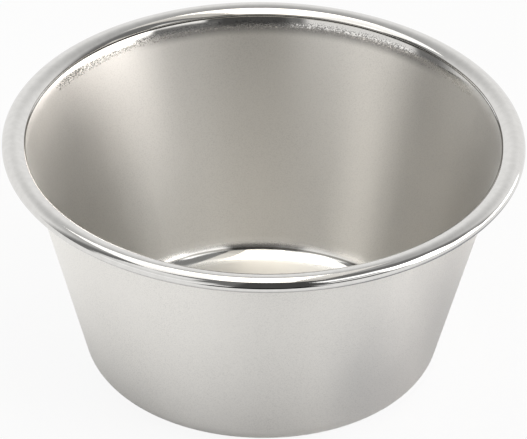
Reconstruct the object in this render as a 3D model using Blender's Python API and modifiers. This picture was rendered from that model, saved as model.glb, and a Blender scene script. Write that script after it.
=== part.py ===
# Pudding cup mould: one cup drawn from thin stainless sheet, with its edge curled outward into a bead.
# Metres, +Z up. The origin is the centre of the flat underside that the cup rests on.
import bpy
import math

# Driving dimensions
RIM_DIAMETER = 0.0760      # over the outside of the bead
HEIGHT = 0.0370            # from the underside to the top of the bead
FOOT_DIAMETER = 0.0499     # where the wall's outer face, carried straight down, meets the underside
SHEET = 0.0005             # thickness of the steel
CORNER_RADIUS = 0.0038     # inside radius between floor and wall
BEAD_WIDTH = 0.0033        # across the curl, level with its middle
BEAD_HEIGHT = 0.0025       # the curl is a little flattened
SEAM_GAP = 0.0003          # clearance between the wall's upper edge and the curl
CURL_SLIT = 0.0004         # clearance between the curl's raw edge and the wall

# How finely the round shapes are drawn
AROUND = 96                # facets in a full turn
CORNER_STEPS = 8           # facets up the corner
BEAD_TOP_STEPS = 8         # facets over the top half of the bead
BEAD_UNDER_STEPS = 6       # facets from the outermost point to the raw edge
EDGE_SEARCH = math.radians(0.5)
WELD = 0.00001

# Finishes: colour, metallic, roughness
SATIN = ((0.62, 0.61, 0.59, 1.0), 1.0, 0.38)
BURNISHED = ((0.74, 0.74, 0.74, 1.0), 1.0, 0.10)

# Places worked out from the dimensions above
BEAD_RADIUS = RIM_DIAMETER / 2 - BEAD_WIDTH / 2
BEAD_LEVEL = HEIGHT - BEAD_HEIGHT / 2
CREASE_RADIUS = RIM_DIAMETER / 2 - BEAD_WIDTH
FOOT_RADIUS = FOOT_DIAMETER / 2


def wall_lean():
    """Angle of the wall from upright: its inner face runs up to the inside of the bead at mid height."""
    run = CREASE_RADIUS - FOOT_RADIUS
    reach = math.hypot(run, BEAD_LEVEL)
    return math.atan2(run, BEAD_LEVEL) + math.asin(SHEET / reach)


def wall_radius(level):
    """Radius of the wall's outer face at a height."""
    return FOOT_RADIUS + level * math.tan(wall_lean())


def body_profile():
    """Outer face of the cup as (radius, height): down the wall, round the corner, in to the centre."""
    lean = wall_lean()
    outer_corner = CORNER_RADIUS + SHEET
    turn = math.pi / 2 - lean
    arc_centre = FOOT_RADIUS - outer_corner * math.tan(turn / 2)
    top = BEAD_LEVEL - SEAM_GAP - SHEET * math.sin(lean)
    points = [(wall_radius(top), top)]
    for step in range(CORNER_STEPS + 1):
        angle = turn * (1 - step / CORNER_STEPS)
        points.append((arc_centre + outer_corner * math.sin(angle), outer_corner * (1 - math.cos(angle))))
    points.append((0.0, 0.0))
    return points


def bead_point(angle):
    """Point on the bead's outer face, by its angle round the bead from the outermost point."""
    return (BEAD_RADIUS + BEAD_WIDTH / 2 * math.cos(angle), BEAD_LEVEL + BEAD_HEIGHT / 2 * math.sin(angle))


def curl_end():
    """Angle at which the curl's raw edge stops, short of the wall by the slit."""
    slit = CURL_SLIT / math.cos(wall_lean())
    angle = -math.pi / 2
    radius, level = bead_point(angle - EDGE_SEARCH)
    while radius - wall_radius(level) > slit:
        angle -= EDGE_SEARCH
        radius, level = bead_point(angle - EDGE_SEARCH)
    return angle


def curl_profile():
    """Outer face of the bead as (radius, height): from the crease over the top, down, and back in below."""
    raw_edge = curl_end()
    over = [math.pi * (1 - step / BEAD_TOP_STEPS) for step in range(BEAD_TOP_STEPS)]
    under = [raw_edge * step / BEAD_UNDER_STEPS for step in range(BEAD_UNDER_STEPS + 1)]
    return [bead_point(angle) for angle in over + under]


def finish(name, look):
    """Metal finish from a colour, metallic value and roughness."""
    colour, metallic, roughness = look
    material = bpy.data.materials.new(name)
    material.use_nodes = True
    shader = material.node_tree.nodes["Principled BSDF"]
    shader.inputs["Base Color"].default_value = colour
    shader.inputs["Metallic"].default_value = metallic
    shader.inputs["Roughness"].default_value = roughness
    material.diffuse_color = colour
    material.metallic = metallic
    material.roughness = roughness
    return material


def turned_sheet(name, profile, material, collection):
    """Sheet of even thickness: the outer face is turned about Z and thickened inward."""
    mesh = bpy.data.meshes.new(name)
    edges = [(i, i + 1) for i in range(len(profile) - 1)]
    mesh.from_pydata([(radius, 0.0, level) for radius, level in profile], edges, [])
    mesh.materials.append(material)
    piece = bpy.data.objects.new(name, mesh)
    collection.objects.link(piece)

    turn = piece.modifiers.new("turn", "SCREW")
    turn.axis = "Z"
    turn.angle = math.tau
    turn.steps = AROUND
    turn.render_steps = AROUND
    turn.use_merge_vertices = True
    turn.merge_threshold = WELD
    turn.use_smooth_shade = True

    thicken = piece.modifiers.new("sheet", "SOLIDIFY")
    thicken.thickness = SHEET
    thicken.offset = -1.0
    thicken.use_even_offset = True
    return piece


for old in list(bpy.data.objects):
    bpy.data.objects.remove(old, do_unlink=True)

mould = bpy.data.collections.new("pudding_cup_mould")
bpy.context.scene.collection.children.link(mould)

satin = finish("satin_steel", SATIN)
burnished = finish("burnished_steel", BURNISHED)

turned_sheet("cup_body", body_profile(), satin, mould)
turned_sheet("rolled_rim", curl_profile(), burnished, mould)
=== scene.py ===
import math

import bpy
import numpy as np
from mathutils import Matrix, Vector


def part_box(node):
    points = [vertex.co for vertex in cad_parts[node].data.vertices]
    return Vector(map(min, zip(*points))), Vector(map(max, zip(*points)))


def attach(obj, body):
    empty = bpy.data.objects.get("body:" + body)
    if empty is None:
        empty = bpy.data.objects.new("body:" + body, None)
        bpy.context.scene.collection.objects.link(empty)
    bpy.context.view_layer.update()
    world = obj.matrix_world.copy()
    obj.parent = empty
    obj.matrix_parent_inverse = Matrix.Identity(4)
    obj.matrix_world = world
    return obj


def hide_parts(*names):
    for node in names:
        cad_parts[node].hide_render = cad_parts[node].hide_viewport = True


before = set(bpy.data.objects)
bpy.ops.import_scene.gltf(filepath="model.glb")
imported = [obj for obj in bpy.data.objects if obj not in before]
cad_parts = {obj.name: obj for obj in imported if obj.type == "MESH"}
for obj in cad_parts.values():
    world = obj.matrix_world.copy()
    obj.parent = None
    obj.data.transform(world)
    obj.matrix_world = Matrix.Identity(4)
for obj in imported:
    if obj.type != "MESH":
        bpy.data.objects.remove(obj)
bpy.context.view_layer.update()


# The drawn cup. Floor, corner and wall are one disc of stainless sheet pressed to shape in a die, and stay
# satin from the press. The punch left the corner bright as a mirror and the floor a little duller, and the
# tool that curled the rim burnished the top of the inner wall.

SHEET = 0.0005             # thickness of the steel
CORNER_INSIDE = 0.0038     # radius between floor and wall, inside
FOOT_RADIUS = 0.02495      # where the wall's outer face would meet the table
LEAN = math.radians(15.4)  # the wall, from upright
FLARE_HEIGHT = 0.0345      # from here up to the bead the wall curves outward
CREASE_RADIUS = 0.03465    # the fine line where the wall ends and the bead begins
CREASE_DEPTH = 0.0008      # below the top of the bead

# the wall's upper edge, as radius and height from the crease: its inner corner, its top, and its back,
# which the bead hides
EDGE_IN = (-0.00008, -0.00016)
EDGE_TOP = (0.00004, -0.00022)
EDGE_BACK = (0.0002, -0.0006)

FACETS = 384               # columns round the cup
FLOOR_ROWS = 10
CORNER_ROWS = 30
INSIDE_ROWS = 50
FLARE_ROWS = 24
OUTSIDE_ROWS = 40
UNDERSIDE_ROWS = 8

rim_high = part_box("rolled_rim")[1]
crease = (CREASE_RADIUS, rim_high.z - CREASE_DEPTH)


def arc(centre, radius, start, end, count):
    """Points on a circle: centre + radius * (sin a, -cos a), for count angles a from start to end."""
    a = np.linspace(start, end, count)
    return np.stack([centre[0] + radius * np.sin(a), centre[1] - radius * np.cos(a)], axis=1)


def run(start, end, count):
    """Points on a straight line, start + (end - start) * t, for count values t from 0 to 1."""
    t = np.linspace(0, 1, count)[:, None]
    return np.array(start) + (np.array(end) - np.array(start)) * t


def curve(start, end, lean, count):
    """Points R (cos lean - cos a, sin a - sin lean) from start: the arc of radius R that leaves start at
    lean from upright and passes through end. The chord halves the turn. Also the angles a."""
    chord = math.atan2(end[0] - start[0], end[1] - start[1])
    radius = math.dist(start, end) / (2 * math.sin(chord - lean))
    a = np.linspace(lean, 2 * chord - lean, count)
    steps = np.stack([math.cos(lean) - np.cos(a), np.sin(a) - math.sin(lean)], axis=1)
    return np.array(start) + radius * steps, a


def turned(name, profile, closed):
    """Surface of revolution: (r cos b, r sin b, z) for each profile point (r, z) and FACETS angles b.
    An open profile starts and ends on the axis, at the two poles. A closed one is a ring."""
    body = profile if closed else profile[1:-1]
    rows = len(body)
    turn = np.arange(FACETS) * (2 * math.pi / FACETS)
    grid = np.empty((rows, FACETS, 3))
    grid[..., 0] = body[:, :1] * np.cos(turn)
    grid[..., 1] = body[:, :1] * np.sin(turn)
    grid[..., 2] = body[:, 1:]
    index = np.arange(rows * FACETS).reshape(rows, FACETS)
    after = np.roll(index, -1, axis=0) if closed else index[1:]
    here = index if closed else index[:-1]
    quads = np.stack([here, after, np.roll(after, -1, axis=1), np.roll(here, -1, axis=1)], axis=-1)
    points = grid.reshape(-1, 3)
    faces = quads.reshape(-1, 4).tolist()
    if not closed:
        first = len(points)
        last = first + 1
        points = np.vstack([points, [[0, 0, profile[0, 1]], [0, 0, profile[-1, 1]]]])
        ring = np.roll(index, -1, axis=1)
        faces += np.stack([np.full(FACETS, first), index[0], ring[0]], axis=1).tolist()
        faces += np.stack([np.full(FACETS, last), ring[-1], index[-1]], axis=1).tolist()
    mesh = bpy.data.meshes.new(name)
    mesh.from_pydata(points.tolist(), [], faces)
    mesh.shade_smooth()
    piece = bpy.data.objects.new(name, mesh)
    bpy.context.scene.collection.objects.link(piece)
    return piece


def cup_profile():
    """The cup's section: out along the floor, round the inner corner, up the inner wall and its flare to
    the crease, over, and back the same way outside. Inner and outer corner share one centre."""
    turn = math.pi / 2 - LEAN
    outer_corner = CORNER_INSIDE + SHEET
    centre = (FOOT_RADIUS - outer_corner * math.tan(turn / 2), outer_corner)
    inner_foot = arc(centre, CORNER_INSIDE, 0, turn, CORNER_ROWS)
    outer_foot = arc(centre, outer_corner, turn, 0, CORNER_ROWS)
    edge_in, edge_top, edge_back = (np.add(crease, step) for step in (EDGE_IN, EDGE_TOP, EDGE_BACK))
    bend_radius = FOOT_RADIUS + FLARE_HEIGHT * math.tan(LEAN) - SHEET / math.cos(LEAN)
    inner_bend = (bend_radius, FLARE_HEIGHT)
    inner_flare, a = curve(inner_bend, edge_in, LEAN, FLARE_ROWS)
    outer_flare = inner_flare + SHEET * np.stack([np.cos(a), -np.sin(a)], axis=1)
    outer_flare = outer_flare[outer_flare[:, 1] < edge_back[1]][::-1]
    return np.vstack([
        run((0, SHEET), inner_foot[0], FLOOR_ROWS)[:-1],
        inner_foot,
        run(inner_foot[-1], inner_bend, INSIDE_ROWS)[1:],
        inner_flare[1:],
        [edge_top, edge_back],
        outer_flare,
        run(outer_flare[-1], outer_foot[0], OUTSIDE_ROWS)[1:-1],
        outer_foot,
        run(outer_foot[-1], (0, 0), UNDERSIDE_ROWS)[1:],
    ])


class Wire:
    """A shader socket that works in Python sums: each operator on it adds one Math node."""

    def __init__(self, tree, socket=None):
        self.tree = tree
        self.socket = socket

    def node(self, kind, settings, sockets, output=0):
        """Adds a node: its settings are set first, then each socket gets its value or its link."""
        made = self.tree.nodes.new("ShaderNode" + kind)
        for key, value in settings.items():
            setattr(made, key, value)
        for key, value in sockets.items():
            if isinstance(value, Wire):
                self.tree.links.new(value.socket, made.inputs[key])
            else:
                made.inputs[key].default_value = value
        return Wire(self.tree, made.outputs[output])

    def parts(self):
        """The three numbers of a vector."""
        split = self.node("SeparateXYZ", {}, {0: self}).socket.node
        return [Wire(self.tree, socket) for socket in split.outputs]

    def math(self, operation, *terms):
        """A Math node on the terms."""
        return self.node("Math", {"operation": operation}, dict(enumerate(terms)))

    def __add__(self, other):
        return self.math("ADD", self, other)

    def __sub__(self, other):
        return self.math("SUBTRACT", self, other)

    def __rsub__(self, other):
        return self.math("SUBTRACT", other, self)

    def __mul__(self, other):
        return self.math("MULTIPLY", self, other)

    def __truediv__(self, other):
        return self.math("DIVIDE", self, other)

    def __abs__(self):
        return self.math("ABSOLUTE", self)

    __radd__ = __add__
    __rmul__ = __mul__

    def root(self):
        """Square root."""
        return self.math("SQRT", self)

    def larger(self, other):
        """The larger of two."""
        return self.math("MAXIMUM", self, other)

    def ease(self, low, high):
        """0 below low, 1 above high, and a smooth S between."""
        return self.node("MapRange", {"interpolation_type": "SMOOTHSTEP"},
                         {"Value": self, "From Min": low, "From Max": high})

    def tint(self, low, high):
        """A colour between two, with this value as the share of the second."""
        return self.node("Mix", {"data_type": "RGBA"}, {0: self, 6: low, 7: high}, output=2)

    def blend(self, low, high):
        """A shader between two, with this value as the share of the second."""
        return self.node("MixShader", {}, {0: self, 1: low, 2: high})


def metal(name):
    """A bare metal, its Principled shader, and wires for the place on the piece and its x, y and z."""
    material = bpy.data.materials.new(name)
    material.use_nodes = True
    tree = material.node_tree
    shader = tree.nodes["Principled BSDF"]
    shader.inputs["Metallic"].default_value = 1.0
    place = Wire(tree).node("TexCoord", {}, {}, output="Object")
    return material, shader, place, *place.parts()


def feed(shader, name, wire):
    """Links a wire to one of the shader's sockets."""
    wire.tree.links.new(wire.socket, shader.inputs[name])


def noise(place, scale, detail=2.0, rough=0.5):
    """Soft noise from 0 to 1, about scale features in a metre."""
    settings = {"Vector": place, "Scale": scale, "Detail": detail, "Roughness": rough}
    return place.node("TexNoise", {}, settings)


# painted light: the outer face is coloured lighter than the inner face, though both are the same steel
OUTSIDE_PAINTED_LIGHTER = (0.93, 0.91, 0.87, 1.0)
INSIDE = (0.74, 0.725, 0.695, 1.0)
INSIDE_SHARE = 0.9         # share of that colour inside, and what the patches add to it
INSIDE_PATCHY = 0.2
SATIN_ROUGHNESS = 0.40
SATIN_STREAKING = 0.06     # how much streaks and patches change the roughness
SATIN_PATCHING = 0.04
BRUSHED = 0.75             # the satin is drawn out along one direction
BRUSHED_TURN = 0.25
PITS = (0.40, 0.39, 0.375, 1.0)
PITTING = 0.05             # share of the pits' colour in each pit, and what the patches add to it
PITTING_PATCHY = 0.3
PIT_SHALLOW = 0.42         # levels of the fine noise where a pit begins and where it is full
PIT_DEEP = 0.7
GRAIN_DEPTH = 0.000012
GRAIN_STREAKING = 0.15     # height of the streaks beside the grain's

STREAKS_ROUND = 26.0       # noise features for each radius round the cup
TEETH_ROUND = 170.0
STREAK_RISE = 6.0          # the smaller, the longer the streaks up the wall
PITS_TO_A_METRE = 5200.0
PATCHES_TO_A_METRE = 90.0

BURNISHED_ROUGHNESS = 0.06
BURNISHED_DEPTH = 0.0014   # how far down the inner wall the curling tool rubbed
BAND_WHOLE = 0.7           # shares of that depth: the band is whole down to here,
BAND_GONE = 1.5            # and gone from here on
RAGGED = 0.0004            # how far streaks and teeth move the band's lower edge
SPECKLED = 0.0009          # and how far the pits do
RUBBED_FROM = 0.35         # the tool rubbed the back: shares of the radius, from the axis towards +Y
RUBBED_FULL = 0.6
RUBBED_AWAY = 0.95         # share of the grain that it took

# a dull grey band painted along the lower edge of the burnished band
DARK_BAND = (0.26, 0.255, 0.25, 1.0)
DARK_BAND_STRENGTH = 0.85
DARK_BAND_FROM = 0.6           # shares of the burnished depth: the darker band sets in here,
DARK_BAND_FADES = 1.1          # begins to fade here,
DARK_BAND_GONE = 2.2           # and is gone from here on
DARKENED_FROM = 0.72        # shares of the radius, as above
DARKENED_FULL = 0.88
DARK_BAND_ASIDE = 0.15         # it lies a little to the right of the back

# painted light: the polished corner and floor are coloured lighter than the rest of the same steel
FLOOR_STEEL_PAINTED_LIGHTER = (0.97, 0.96, 0.925, 1.0)
FLOOR_ROUGHNESS = 0.30     # on the flat floor, where the punch face pressed
FLOOR_TOP = SHEET * 1.05   # heights between which the floor's finish turns into the corner's
FLOOR_LEFT = SHEET * 2.0
POLISH_ROUGHNESS = 0.08    # on the corner below the dark line
POLISH_LOW = 0.00150       # the polish ends within the dark line
POLISH_HIGH = 0.00175
POLISH_WANDER = 0.0004     # and its edge wanders a little
CORNER_ROUGHNESS = 0.18    # just above the dark line, rising to the satin of the wall
CORNER_TOP = 0.0034
GRAIN_FULL = CORNER_TOP * 1.5
DARK_LINE = 0.00168        # height of a thin ring painted darker round the corner
DARK_LINE_HALF = 0.00017
DARK_LINE_CORE = DARK_LINE_HALF * 0.3
DARK_LINE_COLOUR = (0.20, 0.19, 0.17, 1.0)
DARK_LINE_STRENGTH = 0.85
CREASE_SHADE_LOW = 0.00018         # below the crease, where the painted shade in the crease fades
CREASE_SHADE_HIGH = 0.00026
CREASE_SHADE_STRENGTH = 0.9


def satin_steel():
    """Satin outside and inside, bright on the corner and floor and in a ragged band under the bead."""
    material, shader, place, x, y, z = metal("satin_steel")
    radius = (x * x + y * y).root()
    # the inner face looks up or in to the axis, the outer face down or away from it
    face_x, face_y, face_z = place.node("TexCoord", {}, {}, output="Normal").parts()
    inside = (face_z - (face_x * x + face_y * y) / radius).ease(-0.1, 0.1)
    # direction round the cup, so that streaks run straight up the wall
    round_cup = place.node("CombineXYZ", {}, {0: x / radius, 1: y / radius, 2: z * STREAK_RISE})
    streaks = noise(round_cup, STREAKS_ROUND, detail=3.0)
    teeth = noise(round_cup, TEETH_ROUND, detail=2.0, rough=0.6)
    fine = noise(place, PITS_TO_A_METRE, detail=3.0, rough=0.65)
    broad = noise(place, PATCHES_TO_A_METRE)
    # the burnished band ends in a ragged edge, and only the back of the wall was rubbed
    depth = crease[1] - z
    ragged = depth + (streaks - 0.5) * RAGGED + (teeth - 0.5) * RAGGED
    ragged = ragged + fine.ease(0.4, 0.6) * SPECKLED - SPECKLED / 2
    rubbed = (y / radius).ease(RUBBED_FROM, RUBBED_FULL)
    band = 1.0 - ragged.ease(BURNISHED_DEPTH * BAND_WHOLE, BURNISHED_DEPTH * BAND_GONE)
    burnish = band * inside * rubbed
    # a dull grey band is painted along the lower edge of the burnished band
    dark_band = ragged.ease(BURNISHED_DEPTH * DARK_BAND_FROM, BURNISHED_DEPTH)
    dark_band = dark_band * (1.0 - depth.ease(BURNISHED_DEPTH * DARK_BAND_FADES, BURNISHED_DEPTH * DARK_BAND_GONE))
    toward_back = (y + x * DARK_BAND_ASIDE) / radius
    dark_band = dark_band * inside * toward_back.ease(DARKENED_FROM, DARKENED_FULL)
    # painted shade: the top of the wall, just under the crease, is coloured dark
    crease_shade = 1.0 - depth.ease(CREASE_SHADE_LOW, CREASE_SHADE_HIGH)
    polish = (1.0 - (z + (broad - 0.5) * POLISH_WANDER).ease(POLISH_LOW, POLISH_HIGH)) * inside
    # a thin ring round the corner is painted darker
    dark_line = (1.0 - abs(z - DARK_LINE).ease(DARK_LINE_CORE, DARK_LINE_HALF)) * inside

    in_corner = (1.0 - z.ease(DARK_LINE, CORNER_TOP)) * inside
    rough = SATIN_ROUGHNESS - in_corner * (SATIN_ROUGHNESS - CORNER_ROUGHNESS)
    rough = rough + (streaks - 0.5) * SATIN_STREAKING + (broad - 0.5) * SATIN_PATCHING
    rough = rough * (1.0 - burnish) + burnish * BURNISHED_ROUGHNESS
    off_floor = z.ease(FLOOR_TOP, FLOOR_LEFT)
    bright = FLOOR_ROUGHNESS - off_floor * (FLOOR_ROUGHNESS - POLISH_ROUGHNESS)
    feed(shader, "Roughness", rough * (1.0 - polish) + polish * bright)
    shader.inputs["Anisotropic"].default_value = BRUSHED
    shader.inputs["Anisotropic Rotation"].default_value = BRUSHED_TURN

    # painted light: the outer face takes the lighter colour
    steel = (inside * (INSIDE_SHARE + broad * INSIDE_PATCHY)).tint(OUTSIDE_PAINTED_LIGHTER, INSIDE)
    pitted = fine.ease(PIT_SHALLOW, PIT_DEEP) * (PITTING + broad * PITTING_PATCHY)
    steel = (pitted * z.ease(DARK_LINE, CORNER_TOP)).tint(steel, PITS)
    # painted light: the polished corner and floor take the lighter colour
    steel = polish.tint(steel, FLOOR_STEEL_PAINTED_LIGHTER)
    # the dull grey band painted under the burnished band
    steel = (dark_band * DARK_BAND_STRENGTH).tint(steel, DARK_BAND)
    # the colour of the dark ring on the corner is also the colour of the painted shade in the crease
    lines = (dark_line * DARK_LINE_STRENGTH).larger(crease_shade * CREASE_SHADE_STRENGTH)
    feed(shader, "Base Color", lines.tint(steel, DARK_LINE_COLOUR))

    grain = fine * (1.0 - burnish * RUBBED_AWAY) * z.ease(DARK_LINE, GRAIN_FULL)
    grain = grain + streaks * GRAIN_STREAKING
    bump = place.node("Bump", {}, {"Height": grain, "Distance": GRAIN_DEPTH, "Strength": 1.0})
    feed(shader, "Normal", bump)
    return material


cup = turned("drawn_cup", cup_profile(), closed=False)
cup.data.materials.append(satin_steel())
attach(cup, "root")
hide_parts("cup_body")


# The rolled rim. The cup's edge is curled outward over a roller and down again until it tucks in under
# itself, which leaves a hollow bead a little wider than it is high. The curling tool polishes it.

BEAD_HALF_WIDTH = 0.0016
BEAD_HALF_HEIGHT = 0.0012
FLANK_RADIUS = 0.0024      # the inner flank is flatter than the rest
RAW_EDGE = math.radians(-122)
LIP = [(0.00004, -0.00006), (0.00012, -0.00016)]   # from the crease down to the lining
FLANK_ROWS = 30
OVAL_ROWS = 80

BEAD_STEEL = (0.74, 0.73, 0.71, 1.0)
SMEARED_STEEL = (0.70, 0.69, 0.67, 1.0)
BEAD_ROUGHNESS = 0.05
SMEARED_ROUGHNESS = 0.02   # added where the bead is smeared
SCRATCHES_TO_A_METRE = 3500.0
SCRATCH_STRETCH = 0.02     # the smaller, the longer the scratches run round the bead
RIPPLES_TO_A_METRE = 260.0
SMEARS_TO_A_METRE = 900.0
GRITTY_PATCHES_TO_A_METRE = 60.0
RIPPLE_DEPTH = 0.000002
SCRATCH_HEIGHT = 0.15      # beside the ripples'
GRIT_HEIGHT = 1.5
BEAD_CREASE_SHADE_LOW = 0.00007    # from the crease outward, where the painted shade in the crease fades
BEAD_CREASE_SHADE_HIGH = 0.00013


def curl_profile():
    """The bead's section. Skin: a flat arc of FLANK_RADIUS from the crease to the top, then the oval
    (a cos t, b sin t) from the top down to the raw edge. Lining: the skin drawn in by the sheet. The lip
    closes it at the crease."""
    centre = np.array([rim_high.x - BEAD_HALF_WIDTH, rim_high.z - BEAD_HALF_HEIGHT])
    t = np.linspace(math.pi / 2, RAW_EDGE, OVAL_ROWS)
    oval = centre + np.stack([BEAD_HALF_WIDTH * np.cos(t), BEAD_HALF_HEIGHT * np.sin(t)], axis=1)
    reach = math.asin((centre[0] - crease[0]) / FLANK_RADIUS)
    u = np.linspace(reach, 0, FLANK_ROWS)[:-1]
    top = np.array([centre[0], rim_high.z])
    flank = top - FLANK_RADIUS * np.stack([np.sin(u), 1 - np.cos(u)], axis=1)
    skin = np.vstack([flank, oval])
    along = np.gradient(skin, axis=0)
    along /= np.linalg.norm(along, axis=1, keepdims=True)
    lining = skin + SHEET * np.stack([along[:, 1], -along[:, 0]], axis=1)
    lip = flank[0] + LIP
    return np.vstack([skin, lining[::-2], lip[::-1]])


def burnished_steel():
    """Bright steel with faint scratches that run round the bead."""
    material, shader, place, x, y, z = metal("burnished_steel")
    radius = (x * x + y * y).root()
    stretched = {0: x / radius * SCRATCH_STRETCH, 1: y / radius * SCRATCH_STRETCH, 2: z}
    scratches = noise(place.node("CombineXYZ", {}, stretched), SCRATCHES_TO_A_METRE)
    ripples = noise(place, RIPPLES_TO_A_METRE)
    smears = noise(place, SMEARS_TO_A_METRE, detail=3.0)
    grit = noise(place, SCRATCHES_TO_A_METRE) * noise(place, GRITTY_PATCHES_TO_A_METRE).ease(0.45, 0.6)
    feed(shader, "Roughness", BEAD_ROUGHNESS + smears * SMEARED_ROUGHNESS)
    steel = smears.ease(0.3, 0.7).tint(BEAD_STEEL, SMEARED_STEEL)
    # painted shade: the bead is coloured dark where it meets the wall
    crease_shade = 1.0 - (radius - crease[0]).ease(BEAD_CREASE_SHADE_LOW, BEAD_CREASE_SHADE_HIGH)
    feed(shader, "Base Color", (crease_shade * CREASE_SHADE_STRENGTH).tint(steel, DARK_LINE_COLOUR))
    height = scratches * SCRATCH_HEIGHT + ripples + grit * GRIT_HEIGHT
    bump = place.node("Bump", {}, {"Height": height, "Distance": RIPPLE_DEPTH, "Strength": 1.0})
    feed(shader, "Normal", bump)
    return material


bead = turned("curled_bead", curl_profile(), closed=True)
bead.data.materials.append(burnished_steel())
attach(bead, "root")
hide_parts("rolled_rim")


# The table under the cup: a wide, matt, near-white sheet. It takes a soft shadow and runs out to white.
# The metal mirrors that white too, but for a painted black end of the table towards the camera and a
# painted shade round the cup's foot.

TABLE_WHITE = (0.86, 0.86, 0.855, 1.0)
TABLE_HALF = 3.0
TABLE_DROP = 0.00002       # clear of the cup's underside
SEEN_WHITE = 0.9           # share of plain white that the camera sees
MIRRORED_WHITE = 0.95      # share of it that the metal mirrors
MIRRORED_FROM = 0.02       # distance from the axis at which that share sets in, and is full
MIRRORED_FULL = 0.05
PAINTED_DARK_END = 0.13            # from the axis towards the camera
PAINTED_DARK_END_SOFT = 0.02
PAINTED_DARK_END_SPREAD = 0.35     # it widens towards the camera
PAINTED_DARK_END_FADE = 0.03
SHADE_COLOUR = (0.12, 0.13, 0.155, 1)
SHADE_STRENGTH = 0.33      # share of the shade's colour round the foot
SHADE_RIGHT = 2.5          # times that, further out
SHADE_FRONT = 2.4

bpy.ops.mesh.primitive_plane_add(size=2 * TABLE_HALF, location=(0, 0, -TABLE_DROP))
table = bpy.context.object
table.name = "table"
paper = bpy.data.materials.new("table_paper")
paper.use_nodes = True
tree = paper.node_tree
tree.nodes.clear()
start = Wire(tree)
seen = start.node("LightPath", {}, {}, output="Is Camera Ray")
shine = Wire(tree, seen.socket.node.outputs["Is Glossy Ray"])
across, along = start.node("TexCoord", {}, {}, output="Object").parts()[:2]


def spot(right, back, full, end):
    """1 within full metres of a place on the table and 0 beyond end metres."""
    off_x = across - right
    off_y = along - back
    return 1.0 - (off_x * off_x + off_y * off_y).root().ease(full, end)


diffuse = start.node("BsdfDiffuse", {}, {"Color": TABLE_WHITE})
white = start.node("Emission", {}, {"Color": (1, 1, 1, 1), "Strength": 1.0})
# painted shade, seen only in the metal's reflections
painted_black = start.node("Emission", {}, {"Color": (0, 0, 0, 1), "Strength": 0.0})
shaded = start.node("Emission", {}, {"Color": SHADE_COLOUR, "Strength": 1.0})
off_foot = (across * across + along * along).root().ease(MIRRORED_FROM, MIRRORED_FULL)
mixed = (seen * SEEN_WHITE + shine * off_foot * MIRRORED_WHITE).blend(diffuse, white)
# the end of the table towards the camera is painted black, for mirror rays only
painted_dark_end = 1.0 - (abs(across) + along * PAINTED_DARK_END_SPREAD).ease(0.0, PAINTED_DARK_END_FADE)
painted_dark_end = (-PAINTED_DARK_END - along).ease(-PAINTED_DARK_END_SOFT, PAINTED_DARK_END_SOFT) * painted_dark_end
mixed = (painted_dark_end * shine).blend(mixed, painted_black)
# the shade lies round the foot, and is deeper out to the right and in front of that
shade = spot(0.012, 0.0, 0.024, 0.070)
shade = shade.larger(spot(0.040, 0.003, 0.004, 0.054) * SHADE_RIGHT)
shade = shade.larger(spot(0.027, -0.020, 0.002, 0.030) * SHADE_FRONT)
mixed = (shade * shine * SHADE_STRENGTH).blend(mixed, shaded)
out = tree.nodes.new("ShaderNodeOutputMaterial")
tree.links.new(mixed.socket, out.inputs["Surface"])
table.data.materials.append(paper)


# The light: a pale room with a window and low light on the right, lamps on the left and in front on the
# right, a dark patch towards the camera, and close above the cup a soft box in three strips.

ROOM_DIM = 0.2             # the room's level in front
ROOM_BRIGHT = 0.78         # added at the back, less ROOM_CEILING high up
ROOM_CEILING = 0.52
WINDOW = 3.4               # levels of the lights, where 1 is white
WINDOW_TOP = 4.2
LOW_RIGHT = 4.8
LAMP_LEFT = 0.8
MID_LEFT = 0.7
LAMP_RIGHT = 1.6
GLINT = 1.1                # a low gap of light, seen in the left of the burnished band
DARKNESS = 0.96            # share of the other light that the dark patch takes
DARK_LEVEL = 0.07
DAYLIGHT = (1.0, 0.95, 0.915, 1.0)   # tint of the window and of the low light beside it

world = bpy.data.worlds.new("studio")
bpy.context.scene.world = world
world.use_nodes = True
sky = world.node_tree
sky.nodes.clear()
air = Wire(sky)
aim_x, aim_y, aim_z = air.node("TexCoord", {}, {}, output="Generated").parts()
flat_length = (aim_x * aim_x + aim_y * aim_y).root()


def sector(azimuth, inner, outer):
    """1 within inner degrees of an azimuth, 0 beyond outer degrees. Azimuth is clockwise of +Y from above."""
    a = math.radians(azimuth)
    toward = (aim_x * math.sin(a) + aim_y * math.cos(a)) / flat_length
    return toward.ease(math.cos(math.radians(outer)), math.cos(math.radians(inner)))


def above(elevation, soft):
    """0 below an elevation and 1 over it, over soft degrees either way."""
    return aim_z.ease(math.sin(math.radians(elevation - soft)), math.sin(math.radians(elevation + soft)))


def below(elevation, soft):
    """1 below an elevation and 0 over it, over soft degrees either way."""
    return 1.0 - above(elevation, soft)


room = ROOM_DIM + sector(352, 64, 88) * (ROOM_BRIGHT - ROOM_CEILING * above(48, 24))
window = sector(102, 18, 27) * above(11, 5) * below(26, 5)
window_top = sector(108, 12, 19) * above(25, 5) * below(42, 5)
low_right = sector(83, 27, 38) * below(11, 3)
lamp_left = sector(230, 17, 22) * above(30, 6) * below(56, 4)
mid_left = sector(226, 24, 30) * below(29, 6)
low_left = (sector(222, 26, 32) * below(10, 4)).larger(mid_left * MID_LEFT)
dark = sector(174.5, 13, 19).larger(sector(163, 20, 28) * above(20, 8))
lamp_right = sector(133, 16, 23) * above(37, 4) * below(55, 4)
glint = sector(135, 15, 19) * above(19, 3) * below(29, 3)

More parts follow.
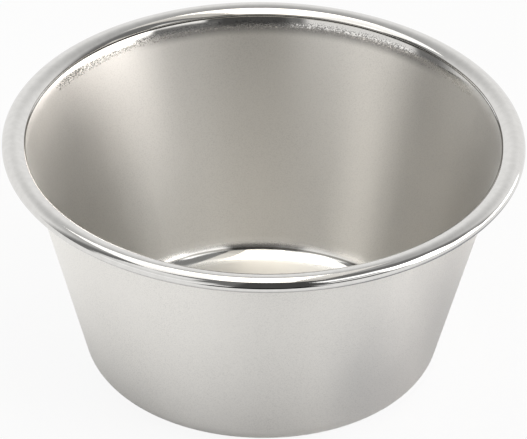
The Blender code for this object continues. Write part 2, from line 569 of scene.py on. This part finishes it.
level = room + window * WINDOW + window_top * WINDOW_TOP + lamp_left * LAMP_LEFT + low_left
level = level + low_right * LOW_RIGHT
level = level * (1.0 - DARKNESS * dark) + DARK_LEVEL * dark + lamp_right * LAMP_RIGHT + glint * GLINT
camera_ray = air.node("LightPath", {}, {}, output="Is Camera Ray")
not_seen = 1.0 - camera_ray
level = level * not_seen + camera_ray
colour = (window.larger(low_right) * not_seen).tint((1.0, 1.0, 1.0, 1.0), DAYLIGHT)
background = air.node("Background", {}, {"Color": colour, "Strength": level})
sky_out = sky.nodes.new("ShaderNodeOutputWorld")
sky.links.new(background.socket, sky_out.inputs["Surface"])

BOX_FRONT = -0.074
BOX_BACK = 0.078
BOX_HEIGHT = 0.19
BOX_WARM = (1.0, 0.955, 0.885)
BOX_PALE = (1.0, 0.985, 0.96)


def soft_box(name, left, right, radiance, tone):
    """A flat glowing panel over the cup, facing down. Its energy is radiance * pi * area."""
    lamp = bpy.data.lights.new(name, "AREA")
    lamp.shape = "RECTANGLE"
    lamp.size = right - left
    lamp.size_y = BOX_BACK - BOX_FRONT
    lamp.energy = radiance * math.pi * lamp.size * lamp.size_y
    lamp.color = tone
    panel = bpy.data.objects.new(name, lamp)
    panel.location = ((left + right) / 2, (BOX_FRONT + BOX_BACK) / 2, BOX_HEIGHT)
    panel.visible_camera = False
    bpy.context.scene.collection.objects.link(panel)


soft_box("soft_box_left", -0.110, -0.035, 1.1, BOX_PALE)
soft_box("soft_box", -0.035, 0.024, 2.0, BOX_WARM)
soft_box("soft_box_dim_end", 0.024, 0.050, 0.5, BOX_WARM)


# The camera, as the photograph was taken: a long lens, from in front and a third of the way up.

ELEVATION = math.radians(33.33)
DISTANCE = 1.4571
ROLL = math.radians(0.695)
AIM_POINT = Vector((0.000115, 0.0, 0.02278))
LENS = 683.1
SENSOR = 36.0

camera_data = bpy.data.cameras.new("camera")
camera_data.sensor_width = SENSOR
camera_data.lens = LENS
camera = bpy.data.objects.new("camera", camera_data)
bpy.context.scene.collection.objects.link(camera)
forward = Vector((0, math.cos(ELEVATION), -math.sin(ELEVATION)))
turn = Matrix.Rotation(math.pi / 2 - ELEVATION, 4, "X") @ Matrix.Rotation(ROLL, 4, "Z")
camera.matrix_world = Matrix.Translation(AIM_POINT - forward * DISTANCE) @ turn
bpy.context.scene.camera = camera

bpy.context.scene.view_settings.view_transform = "Standard"
